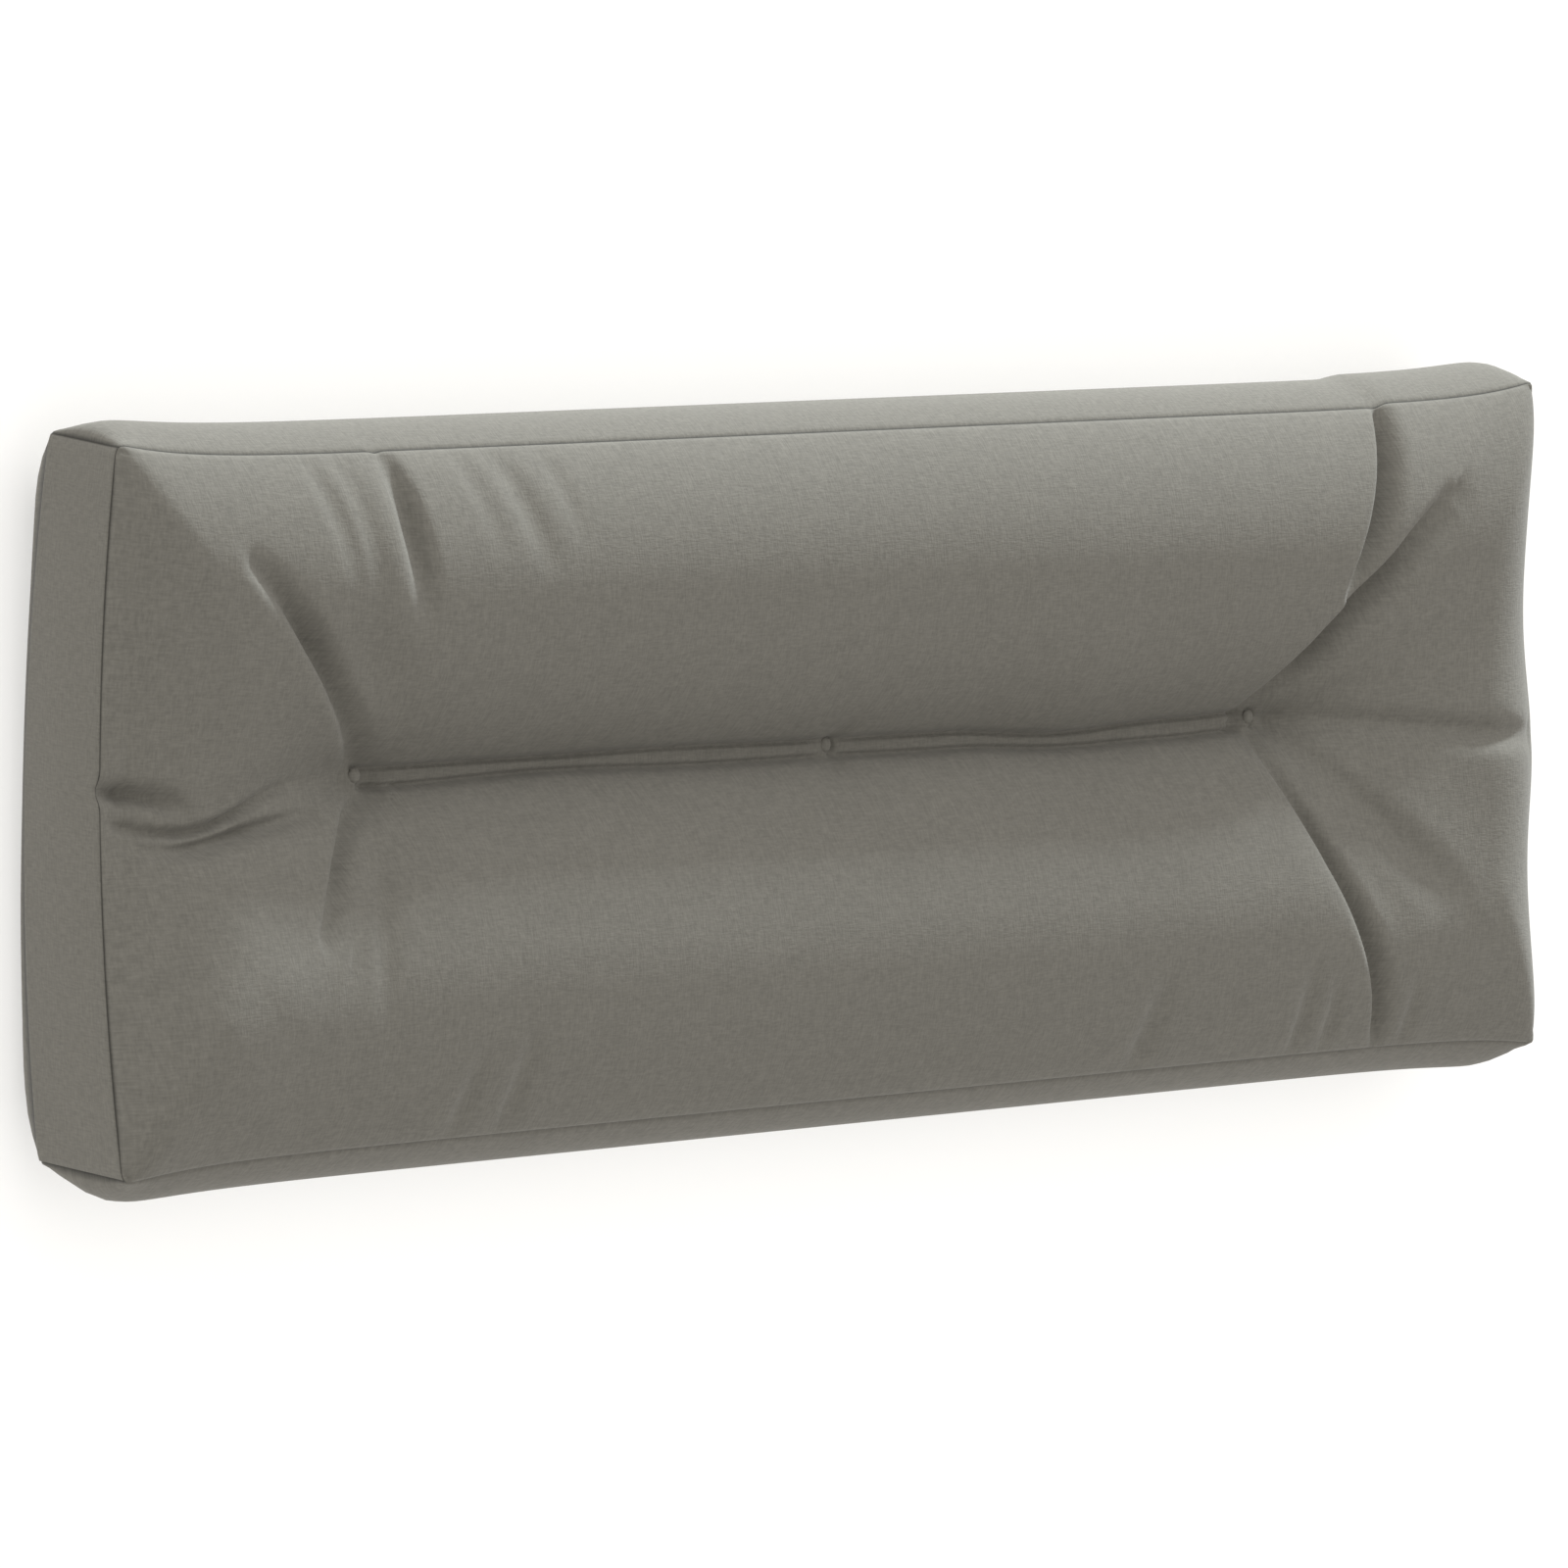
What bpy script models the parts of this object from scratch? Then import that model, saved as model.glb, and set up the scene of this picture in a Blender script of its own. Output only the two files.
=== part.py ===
"""A long tufted box cushion for a pallet bench, lying on its back.

Units are metres, with +Z up and the origin on the floor under the middle. +X runs along the
length and +Y towards the edge that is on top when the cushion stands on its long side.
"""

import bmesh
import bpy
import numpy as np

# Cover, from corner to corner of the seams.
LENGTH = 1.20
WIDTH = 0.40
BOX_TOP = 0.052  # width of the boxing strip along +Y
BOX_BOTTOM = 0.066  # and along -Y, where the filling has settled
SIDE_DRAW = {-1: 0.008, 1: 0.010}  # how far the long seams pull in between the corners, by the sign of y
END_DRAW = {-1: -0.001, 1: 0.000}  # the same for the end seams, by the sign of x
END_DIP = 0.014  # how far the middle of each end lies below its corners
END_LIFT = {"y": -0.022, "width": 0.062, "size": 0.010}  # where the +X end is held up again
BOX_PUFF = {-1: 0.021, 1: 0.013}  # how far the boxing swells past the long seams, by the sign of y
END_PUFF = 0.004  # and past the end seams
LEAN = 0.006  # how far the back panel has slid towards +Y
CORNER_RADIUS = 0.007
DRAW_POWER = 12  # how near the ends a long seam is still drawn in
PUFF_POWER = 50  # and how near them the boxing still swells
DIP_POWER = 6  # how near the ends the dip starts

# Filling: how high the panels stand past their seams, and how far from a seam that takes.
FRONT_CROWN = 0.034
BACK_CROWN = 0.040  # before the weight flattens it
BACK_FLAT = 0.028
LEFT_SHOULDER = {"corner": 0.052, "upper": 0.112, "lower": 0.080}  # it grows from the corners inwards
SHOULDER = {"right": 0.070, "bottom": 0.110, "top": 0.095}
SHOULDER_POWER = 0.75
MITRE = 4.0  # how sharply two shoulders meet at a corner

# Tufts: three covered buttons in a row, pulled in through the filling.
TUFTS = ((-0.398, 0.0092), (-0.0135, 0.0083), (0.358, 0.0074))
TUFT_Z = 0.0065  # floor of a tuft, from the middle of the thickness
TUFT_FLOOR = 0.0085  # half the side of the flat spot under a button
TUFT_REACH = 0.013  # how far a tuft draws the panel in, across the row
TUFT_STRETCH = 1.6  # and how much further along it
BACK_TUFT = {"depth": 0.024, "reach": 0.045}
BUTTON_RADIUS = 0.0045
BUTTON_DOME = 0.0034
BUTTON_RIM = 0.0014
GAP = 0.0003

# The row: between the buttons the panel folds in along one line, and the two lobes slope in to it.
ROW_Y = 0.0083  # the line that is cut through the flat spots
ROW_MIDDLE = ((-0.398, 0.0092), (-0.250, 0.0105), (-0.014, 0.0083), (0.090, 0.0075), (0.190, 0.0030),
              (0.280, 0.0055), (0.358, 0.0074))
ROW_DEPTH = 0.055
ROW_REACH = {"upper": 0.038, "lower": 0.044}
ROW_ROUND = 0.004  # how soft the bottom is
ROW_END = {"left": 0.44, "right": 0.66}  # how fast the row runs out beyond the end buttons
ROW_ON = 0.016  # how far it runs on past the last one first
ROW_SOFTER = 0.35  # and how much softer it gets there

# Creases of the front panel, which run out from the end buttons and part its full lobes. Each path
# is read as one smooth curve. The depths stand at even steps along it, and the reach says how far
# a crease draws the cloth down on the left and on the right of it.
CREASES = (
    # path, depths, reaches
    (((-0.380, 0.008), (-0.4190, 0.038), (-0.470, 0.093), (-0.519, 0.138)),
     (0.002, 0.009, 0.015, 0.003), (0.0058, 0.0062)),
    (((-0.390, 0.032), (-0.424, 0.078), (-0.462, 0.122)),
     (0.001, 0.004, 0.000), (0.0200, 0.0260)),
    (((-0.393, 0.008), (-0.470, 0.002), (-0.540, -0.014), (-0.600, -0.006)),
     (0.003, 0.008, 0.009, 0.006), (0.0160, 0.0160)),
    (((-0.385, 0.001), (-0.415, -0.014), (-0.438, -0.038), (-0.465, -0.075)),
     (0.003, 0.011, 0.013, 0.004), (0.0065, 0.0050)),
    (((-0.388, -0.012), (-0.415, -0.038), (-0.440, -0.075)),
     (0.003, 0.004, 0.001), (0.0280, 0.0120)),
    (((0.346, 0.014), (0.389, 0.058), (0.442, 0.103), (0.490, 0.142)),
     (0.005, 0.022, 0.018, 0.003), (0.0052, 0.0150)),
    (((0.372, 0.004), (0.450, 0.002), (0.530, -0.006), (0.600, -0.011)),
     (0.003, 0.006, 0.007, 0.001), (0.0075, 0.0080)),
    (((0.356, -0.004), (0.376, -0.058), (0.413, -0.122), (0.446, -0.200)),
     (0.004, 0.012, 0.015, 0.010), (0.0064, 0.0050)),
    (((0.384, -0.001), (0.438, -0.043), (0.479, -0.080), (0.506, -0.106)),
     (0.005, 0.0075, 0.0055, 0.001), (0.0085, 0.0200)),
    (((0.385, -0.030), (0.418, -0.066), (0.450, -0.100), (0.475, -0.125)),
     (0.003, 0.0055, 0.0045, 0.000), (0.0160, 0.0170)),
)
CREASE_FADE = 2.5  # creases run out where the panel is less full than one over this
CREASE_SOFT = 0.008  # the least reach that these lines can carry
BULGE = {"x": -0.545, "y": -0.125, "reach": 0.055, "height": 0.010}  # the fullest of the four corners

# Tucks at the upper seam, where the panel was eased on to the boxing. A tuck holds the panel back
# from rising, so its depth is a share of the height there.
TUCKS = (
    (((-0.385, 0.096), (-0.389, 0.120), (-0.393, 0.155), (-0.399, 0.215)),
     (0.00, 0.16, 0.40, 0.55), (0.0090, 0.0056)),
    (((0.401, 0.086), (0.4200, 0.124), (0.4380, 0.165), (0.457, 0.215)),
     (0.12, 0.50, 0.80, 0.95), (0.0046, 0.0080)),
)
PATH_STEPS = 24

# Lines cut into the box, as a fraction of each half side.
END_ZONE = 0.34  # the ends hold the folds, so their lines stand closer
END_LINES = 26
MIDDLE_LINES = 20
CROSS_LINES = 14
BOX_LINES = 4
EDGE_CLOSER = 0.6
AT_FACE = 0.9999  # a point further out than this lies on that face of the box

COLOURS = {"cover": (0.175, 0.165, 0.145, 1.0), "button": (0.150, 0.141, 0.123, 1.0)}


def material(name):
    """A matt woven cloth."""
    made = bpy.data.materials.new(name)
    made.use_nodes = True
    shader = made.node_tree.nodes["Principled BSDF"]
    shader.inputs["Base Color"].default_value = COLOURS[name]
    shader.inputs["Roughness"].default_value = 0.9
    shader.inputs["Metallic"].default_value = 0.0
    return made


def eased(count):
    """Values from 0 to 1 that stand closer at both ends."""
    t = np.linspace(0, 1, count)
    return (1 - EDGE_CLOSER) * t + EDGE_CLOSER * (3 * t**2 - 2 * t**3)


def long_lines():
    """Where the box is cut across its length, in metres."""
    half = LENGTH / 2
    ends = END_ZONE + (half - END_ZONE) * np.sin(np.linspace(0, np.pi / 2, END_LINES + 1))
    middle = np.linspace(-END_ZONE, END_ZONE, MIDDLE_LINES + 1)[1:-1]
    lines = np.concatenate([-ends, middle, ends])
    spots = np.array([x + side * TUFT_FLOOR for x, _ in TUFTS for side in (-1, 1)])
    clear = np.array([np.abs(spots - x).min() > TUFT_FLOOR / 2 for x in lines])
    return np.sort(np.concatenate([lines[clear & (np.abs(lines) < half)], spots]))


def cross_lines():
    """Where the box is cut across its width, in metres."""
    half = WIDTH / 2
    upper = ROW_Y + TUFT_FLOOR + (half - ROW_Y - TUFT_FLOOR) * eased(CROSS_LINES + 1)
    lower = ROW_Y - TUFT_FLOOR - (half + ROW_Y - TUFT_FLOOR) * eased(CROSS_LINES + 1)
    return np.concatenate([lower[:-1], upper[:-1], [ROW_Y]])


def box_cage():
    """A box of side 2 with a line cut all round it at each station."""
    cage = bmesh.new()
    bmesh.ops.create_cube(cage, size=2.0)
    lines = (
        (0, long_lines() / (LENGTH / 2)),
        (1, cross_lines() / (WIDTH / 2)),
        (2, np.linspace(-1, 1, BOX_LINES + 1)[1:-1]),
    )
    for axis, places in lines:
        normal = np.eye(3)[axis]
        for place in places:
            bmesh.ops.bisect_plane(
                cage, geom=cage.verts[:] + cage.edges[:] + cage.faces[:], dist=1e-6,
                plane_co=normal * place, plane_no=normal,
            )
    return cage


def rise(distance, reach):
    """From 0 at a seam to 1 at the reach, steep at first."""
    t = np.clip(distance / reach, 0, 1)
    return (1 - (1 - t) ** 2) ** SHOULDER_POWER


def shoulders(x, y):
    """How full the panel is, from 0 at the seams to 1 past the shoulders."""
    v = np.clip(y / (WIDTH / 2), -1, 1)
    corner, upper, lower = LEFT_SHOULDER.values()
    middle = lower + (upper - lower) * (0.5 + 0.5 * np.tanh(v * 8 + 1))
    left = corner + (middle - corner) * (1 - v**2) ** 1.5
    along = np.minimum(rise(x + LENGTH / 2, left), rise(LENGTH / 2 - x, SHOULDER["right"]))
    across = np.minimum(rise(y + WIDTH / 2, SHOULDER["bottom"]), rise(WIDTH / 2 - y, SHOULDER["top"]))
    short = ((1 - along) ** MITRE + (1 - across) ** MITRE) ** (1 / MITRE)
    return np.clip(1 - short, 0, 1)


def crease(x, y, row):
    """How much one crease or tuck takes from the panel at each point."""
    path, depths, reaches = row
    path = np.array(path)
    knots = np.linspace(0, 1, len(path))
    t = np.linspace(0, 1, PATH_STEPS)
    route = np.stack([np.polyval(np.polyfit(knots, side, len(path) - 1), t) for side in path.T], 1)
    ahead = np.gradient(route, axis=0)
    ahead /= np.linalg.norm(ahead, axis=1)[:, None]
    apart = np.stack([x, y], 1)[:, None, :] - route[None]
    nearest = np.linalg.norm(apart, axis=2).argmin(1)
    off, tangent = apart[np.arange(len(x)), nearest], ahead[nearest]
    left = tangent[:, 0] * off[:, 1] - tangent[:, 1] * off[:, 0]
    narrow = np.where(left > 0, reaches[0], reaches[1])
    reach = np.hypot(narrow, CREASE_SOFT)
    depth = np.interp(t[nearest], np.linspace(0, 1, len(depths)), depths) * np.sqrt(np.mean(reaches) / CREASE_SOFT)
    return np.minimum(depth, 1) * np.exp(-((np.linalg.norm(off, axis=1) / reach) ** 2))


def row_depth(x, y):
    """How deep the row draws the panel in, which runs out in a cone past the end buttons."""
    knots, middles = np.array(ROW_MIDDLE).T
    index = np.clip(np.searchsorted(knots, x) - 1, 0, len(knots) - 2)
    t = np.clip((x - knots[index]) / (knots[index + 1] - knots[index]), 0, 1)
    off = y - middles[index] - (middles[index + 1] - middles[index]) * t**2 * (3 - 2 * t)
    beyond = np.maximum(
        ROW_END["left"] * (TUFTS[0][0] - x), ROW_END["right"] * (x - TUFTS[-1][0] - ROW_ON)
    ).clip(0)
    bend = ROW_ROUND + ROW_SOFTER * beyond
    away = np.hypot(off, beyond)
    upper = 0.5 + 0.5 * off / np.maximum(away, 1e-6)
    reach = ROW_REACH["lower"] + (ROW_REACH["upper"] - ROW_REACH["lower"]) * upper
    return ROW_DEPTH * np.exp(-(np.hypot(away, bend) - bend) / reach)


def front_height(x, y):
    """Height of the front panel over its seams' plane, before the tufts."""
    full = shoulders(x, y)
    drawn = sum(crease(x, y, row) for row in CREASES) + row_depth(x, y)
    away = np.hypot(x - BULGE["x"], y - BULGE["y"])
    drawn -= BULGE["height"] * np.exp(-((away / BULGE["reach"]) ** 2))
    held = np.prod([1 - crease(x, y, row) for row in TUCKS], axis=0)
    return full * FRONT_CROWN * held - np.clip(CREASE_FADE * full, 0, 1) * drawn


def back_height(x, y):
    """Depth of the back panel under its seams' plane: plain, flattened by the weight on it."""
    depth = BACK_CROWN * shoulders(x, y)
    for tuft_x, tuft_y in TUFTS:
        away = np.hypot(x - tuft_x, y - tuft_y)
        depth -= BACK_TUFT["depth"] * np.exp(-away / BACK_TUFT["reach"])
    return np.clip(depth, 0, BACK_FLAT)


def rounded(plan_x, plan_y):
    """How far a point near a corner moves in, so that the square corner becomes an arc."""
    into = np.stack([np.abs(plan_x) - LENGTH / 2, np.abs(plan_y) - WIDTH / 2]) + CORNER_RADIUS
    into = np.clip(into, 0, None)
    share = 1 - into.max(0) / np.clip(np.hypot(*into), 1e-9, None)
    share[into.min(0) <= 0] = 0
    return np.sign(plan_x) * into[0] * share, np.sign(plan_y) * into[1] * share


def tufted(plan_x, plan_y, z):
    """Draws the front panel in to each tuft, whose floor is flat."""
    for tuft_x, _ in TUFTS:
        off_x, off_y = plan_x - tuft_x, plan_y - ROW_Y
        away = np.hypot(off_x / TUFT_STRETCH, off_y) - TUFT_FLOOR / TUFT_STRETCH
        away[np.maximum(np.abs(off_x), np.abs(off_y)) < TUFT_FLOOR + 1e-5] = 0
        share = 1 - np.exp(-np.clip(away, 0, None) / TUFT_REACH)
        z = TUFT_Z + (z - TUFT_Z) * share
    return z


def shaped(cage):
    """The filled form of each point of the box, which is given from -1 to 1 each way."""
    u, v, w = cage.T
    plan_x, plan_y = u * LENGTH / 2, v * WIDTH / 2
    in_x, in_y = rounded(plan_x, plan_y)
    between_sides = 1 - v**2
    swell = 1 - w**2
    at_end, at_side = np.abs(u) > AT_FACE, np.abs(v) > AT_FACE
    front, back = w > AT_FACE, w < -AT_FACE

    end_draw = np.where(u < 0, END_DRAW[-1], END_DRAW[1]) * between_sides * u**4
    end_puff = np.where(at_end, END_PUFF * swell * between_sides, 0)
    x = plan_x - in_x - u * end_draw + np.sign(u) * end_puff

    side_draw = np.where(v < 0, SIDE_DRAW[-1], SIDE_DRAW[1]) * (1 - u**DRAW_POWER)
    side_puff = np.where(v < 0, BOX_PUFF[-1], BOX_PUFF[1]) * swell * (1 - u**PUFF_POWER)
    y = plan_y - in_y - v * side_draw + np.where(at_side, np.sign(v) * side_puff, 0)
    y = y + LEAN * (1 - w) / 2

    boxing = (BOX_TOP + BOX_BOTTOM) / 2 + v * (BOX_TOP - BOX_BOTTOM) / 2
    z = w * boxing / 2 - END_DIP * u**DIP_POWER * between_sides
    lifted = np.exp(-(((plan_y - END_LIFT["y"]) / END_LIFT["width"]) ** 2)) * np.clip(u, 0, 1) ** DIP_POWER
    z = z + END_LIFT["size"] * lifted * between_sides
    raised = tufted(plan_x, plan_y, z + front_height(plan_x, plan_y))
    z = np.where(front, raised, z)
    z = np.where(back, z - back_height(plan_x, plan_y), z)
    return np.stack([x, y, z], 1)


def cushion(collection):
    """The cover with its filling as one solid. Gives how far it was moved onto the origin."""
    cage = box_cage()
    points = shaped(np.array([vert.co[:] for vert in cage.verts]))
    floor = (BOX_BOTTOM + BOX_TOP) / 4 + BACK_FLAT
    low, high = points.min(0), points.max(0)
    shift = np.array([-(low[0] + high[0]) / 2, -(low[1] + high[1]) / 2, floor])
    points = points + shift
    points[:, 2] = np.maximum(points[:, 2], 0)
    for vert, point in zip(cage.verts, points):
        vert.co = point
    bmesh.ops.recalc_face_normals(cage, faces=cage.faces[:])
    mesh = bpy.data.meshes.new("cushion")
    cage.to_mesh(mesh)
    cage.free()
    mesh.shade_smooth()
    mesh.materials.append(material("cover"))
    collection.objects.link(bpy.data.objects.new("cushion", mesh))
    return shift


def tuft_button(number, place, cloth, collection):
    """A covered button: half a ball, flattened, on a short round rim."""
    ball = bmesh.new()
    bmesh.ops.create_uvsphere(ball, u_segments=16, v_segments=10, radius=1.0)
    for vert in ball.verts:
        height = BUTTON_DOME if vert.co.z > 0 else BUTTON_RIM
        vert.co = (
            vert.co.x * BUTTON_RADIUS,
            vert.co.y * BUTTON_RADIUS,
            BUTTON_RIM + max(vert.co.z, -0.95) * height,
        )
    mesh = bpy.data.meshes.new(f"tuft_button_{number}")
    ball.to_mesh(mesh)
    ball.free()
    mesh.shade_smooth()
    mesh.materials.append(cloth)
    button = bpy.data.objects.new(mesh.name, mesh)
    button.location = place
    collection.objects.link(button)


def build():
    for obj in list(bpy.data.objects):
        bpy.data.objects.remove(obj, do_unlink=True)
    collection = bpy.data.collections.new("pallet_cushion")
    bpy.context.scene.collection.children.link(collection)
    shift = cushion(collection)
    cloth = material("button")
    for number, (x, y) in enumerate(TUFTS, 1):
        place = np.array([x, y, TUFT_Z + GAP]) + shift
        tuft_button(number, place, cloth, collection)


build()
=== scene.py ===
# %% [markdown]
# # A tufted pallet cushion
#
# This lesson dresses one long box cushion that lies on its back. The cushion has a front panel
# and a back panel, joined by boxing strips at plain seams, and three small covered buttons pull
# the front panel in along a row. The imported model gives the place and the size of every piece,
# so it is loaded first, and nothing in it is moved.

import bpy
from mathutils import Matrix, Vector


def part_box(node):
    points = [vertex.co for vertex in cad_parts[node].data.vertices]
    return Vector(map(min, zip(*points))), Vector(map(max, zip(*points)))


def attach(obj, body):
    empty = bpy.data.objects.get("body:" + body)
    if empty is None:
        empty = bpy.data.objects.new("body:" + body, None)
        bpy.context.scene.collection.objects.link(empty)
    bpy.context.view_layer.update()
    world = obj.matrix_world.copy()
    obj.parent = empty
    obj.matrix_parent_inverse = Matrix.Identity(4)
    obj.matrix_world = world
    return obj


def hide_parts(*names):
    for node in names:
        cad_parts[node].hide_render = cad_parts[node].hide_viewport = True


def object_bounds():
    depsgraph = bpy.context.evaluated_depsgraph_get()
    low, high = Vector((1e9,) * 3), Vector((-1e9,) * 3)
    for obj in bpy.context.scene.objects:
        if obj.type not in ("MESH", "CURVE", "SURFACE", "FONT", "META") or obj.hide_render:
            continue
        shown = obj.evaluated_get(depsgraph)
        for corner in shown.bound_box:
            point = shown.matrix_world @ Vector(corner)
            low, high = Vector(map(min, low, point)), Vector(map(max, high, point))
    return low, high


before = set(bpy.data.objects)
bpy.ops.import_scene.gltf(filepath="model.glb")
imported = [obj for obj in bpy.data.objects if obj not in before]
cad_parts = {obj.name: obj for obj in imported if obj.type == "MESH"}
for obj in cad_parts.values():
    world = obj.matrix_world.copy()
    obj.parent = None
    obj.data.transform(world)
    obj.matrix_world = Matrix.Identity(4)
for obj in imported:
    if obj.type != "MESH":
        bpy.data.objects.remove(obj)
cad_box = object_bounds()
print("box of the packed model:", cad_box)

# %% Tools used all through
import math

import bmesh
import bpy
import numpy as np
from mathutils import Matrix, Vector

scene = bpy.context.scene
print("Blender", bpy.app.version_string)

# %% [markdown]
# ## The cushion's own sizes
#
# A sewn cover is described by its seams: how long and wide it is between the seams' corners, how
# wide the boxing strip is, and how far the filling pulls the seams in and swells the cloth out.
# The cover could be drawn freely instead, but then it couldn't be held against a real pattern.
# Apart from the small step where the upper seam passes the long right tuck, these are the sizes
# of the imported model's solid, so the fine surface lies in the same place.

# %% Sizes of the cover
LENGTH = 1.20
WIDTH = 0.40
BOX_TOP = 0.052
BOX_BOTTOM = 0.066
SIDE_DRAW = {-1: 0.008, 1: 0.010}
STEP = {"x": 0.445, "width": 0.006, "size": 0.0025}
END_DRAW = {-1: -0.001, 1: 0.000}
END_DIP = 0.014
END_LIFT = {"y": -0.022, "width": 0.062, "size": 0.010}
BOX_PUFF = {-1: 0.021, 1: 0.013}
END_PUFF = 0.004
LEAN = 0.006
CORNER_RADIUS = 0.007
DRAW_POWER = 12
PUFF_POWER = 50
DIP_POWER = 6
AT_FACE = 0.9999
print(f"cover: {LENGTH} x {WIDTH} m between its seams' corners")

# %% [markdown]
# The filling sets how high each panel stands and how far from its seams it levels off. Each
# button holds a small flat floor at the bottom of its tuft, with a deeper pocket on one side and
# a raised lip on the other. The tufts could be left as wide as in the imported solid, whose lines
# stand further apart, but at this scale the cloth closes in round a button.

# %% Sizes of the filling
FRONT_CROWN = 0.034
BACK_CROWN = 0.040
BACK_FLAT = 0.028
LEFT_SHOULDER = {"corner": 0.052, "upper": 0.112, "lower": 0.080}
LEFT_CHANGE = {"rate": 8, "offset": 1}
LEFT_POWER = 1.5
SHOULDER = {"right": 0.070, "bottom": 0.110, "top": 0.095}
SHOULDER_POWER = 0.75
MITRE = 4.0
TUFTS = ((-0.398, 0.0092), (-0.0135, 0.0083), (0.358, 0.0074))
TUFT_Z = 0.0065
TUFT_FLOOR = 0.0038
TUFT_REACH = 0.0055
POCKET = {"radius": 0.0062, "width": 0.0018, "depth": 0.0045, "turn": 15}
LIP = {"height": 0.0015, "level": 0.6, "swing": 1.2}
BACK_TUFT = {"depth": 0.024, "reach": 0.045}
print("buttons at", TUFTS)

# %% [markdown]
# ## Creases
#
# Where a button pulls the panel in, the spare cloth gathers into creases that run from button to
# button and out towards the seams, and the filling stands up in full lobes between them. Each
# crease is one row of a table: its path, how deep it is along the path, how far it draws the cloth
# down on the left and on the right of the path, and its power, which is low for a sharp crease and
# 2 for a soft one. A crease with a depth under nothing is a ridge of pushed-up cloth. Creases
# could be sculpted, or left to a cloth simulation, but a row keeps each one where it is put.

# %% Table of creases on the front panel
CREASES = (
    # name, path, depth at even steps along it, reach on the left and the right, power
    ("upper left", ((-0.380, 0.008), (-0.4190, 0.038), (-0.470, 0.093), (-0.519, 0.138)),
     (0.002, 0.009, 0.015, 0.003), (0.0058, 0.0062), 1.8),
    ("upper left, skirt", ((-0.390, 0.032), (-0.424, 0.078), (-0.462, 0.122)),
     (0.002, 0.006, 0.000), (0.020, 0.026), 2),
    ("upper left, ridge", ((-0.503, 0.100), (-0.516, 0.118), (-0.533, 0.142)),
     (0.000, -0.0008, -0.0006), (0.006, 0.006), 2),
    ("left", ((-0.393, 0.008), (-0.470, 0.006), (-0.540, -0.010), (-0.600, -0.004)),
     (0.003, 0.005, 0.005, 0.004), (0.016, 0.016), 2),
    ("lower left", ((-0.385, 0.001), (-0.415, -0.014), (-0.438, -0.038), (-0.465, -0.075)),
     (0.003, 0.011, 0.013, 0.004), (0.0065, 0.0050), 1.8),
    ("lower left, skirt", ((-0.388, -0.012), (-0.415, -0.038), (-0.440, -0.075)),
     (0.004, 0.006, 0.002), (0.028, 0.012), 2),
    ("lower left, bulge", ((-0.575, -0.150), (-0.545, -0.125), (-0.520, -0.105)),
     (-0.006, -0.010, -0.008), (0.050, 0.050), 2),
    ("upper right", ((0.346, 0.014), (0.389, 0.058), (0.442, 0.103), (0.490, 0.142)),
     (0.006, 0.026, 0.021, 0.004), (0.0052, 0.0150), 1.8),
    ("right", ((0.372, 0.004), (0.450, 0.002), (0.530, -0.006), (0.600, -0.011)),
     (0.003, 0.006, 0.007, 0.001), (0.0075, 0.0080), 1.8),
    ("lower right", ((0.356, -0.004), (0.376, -0.058), (0.413, -0.122), (0.446, -0.200)),
     (0.004, 0.012, 0.015, 0.010), (0.0064, 0.0050), 1.7),
    ("lower right branch", ((0.376, -0.003), (0.429, -0.050), (0.471, -0.085), (0.500, -0.107)),
     (0.005, 0.0085, 0.0060, 0.001), (0.0095, 0.0230), 2),
    ("lower right, hollow", ((0.366, -0.025), (0.398, -0.066), (0.430, -0.103), (0.456, -0.132)),
     (0.004, 0.0075, 0.0055, 0.000), (0.021, 0.022), 2),
    ("left, upper line",
     ((-0.452, 0.0105), (-0.488, 0.0040), (-0.520, -0.0080), (-0.552, -0.0135), (-0.592, -0.0065)),
     (0.001, 0.004, 0.008, 0.007, 0.002), (0.0026, 0.0029), 1.7),
    ("left, lower line",
     ((-0.446, -0.0070), (-0.480, -0.0120), (-0.512, -0.0170), (-0.543, -0.0225), (-0.580, -0.0195)),
     (0.003, 0.007, 0.011, 0.010, 0.001), (0.0030, 0.0042), 1.7),
    ("left, at the seam", ((-0.548, 0.000), (-0.562, 0.006), (-0.585, 0.010), (-0.612, 0.010)),
     (0.002, 0.009, 0.010, 0.009), (0.0050, 0.0045), 1.8),
    ("bottom 1", ((-0.300, -0.135), (-0.308, -0.165), (-0.312, -0.215)),
     (0.000, 0.0030, 0.0038, 0.0030), (0.007, 0.007), 2),
    ("bottom 2", ((-0.340, -0.145), (-0.348, -0.175), (-0.350, -0.215)),
     (0.000, 0.0030, 0.0038, 0.0030), (0.007, 0.007), 2),
    ("bottom 3", ((0.235, -0.140), (0.226, -0.170), (0.222, -0.215)),
     (0.000, 0.0042, 0.0056, 0.0040), (0.009, 0.008), 2),
    ("bottom 4", ((0.362, -0.135), (0.366, -0.170), (0.367, -0.215)),
     (0.000, 0.0034, 0.0050, 0.0040), (0.007, 0.007), 2),
    ("bottom 5", ((0.387, -0.145), (0.392, -0.175), (0.396, -0.215)),
     (0.000, 0.0025, 0.0038, 0.0035), (0.006, 0.006), 2),
    ("bottom 6", ((0.464, -0.150), (0.467, -0.175), (0.469, -0.215)),
     (0.000, 0.0020, 0.0036, 0.0035), (0.006, 0.006), 2),
    ("below the button", ((-0.402, -0.030), (-0.418, -0.080), (-0.426, -0.130)),
     (0.002, 0.003, 0.002, 0.000), (0.007, 0.007), 2),
)
CREASE_FADE = 2.5
CREASE_ROUND = 0.001
PATH_STEPS = 32
FAR = 4
print(len(CREASES), "creases")

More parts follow.
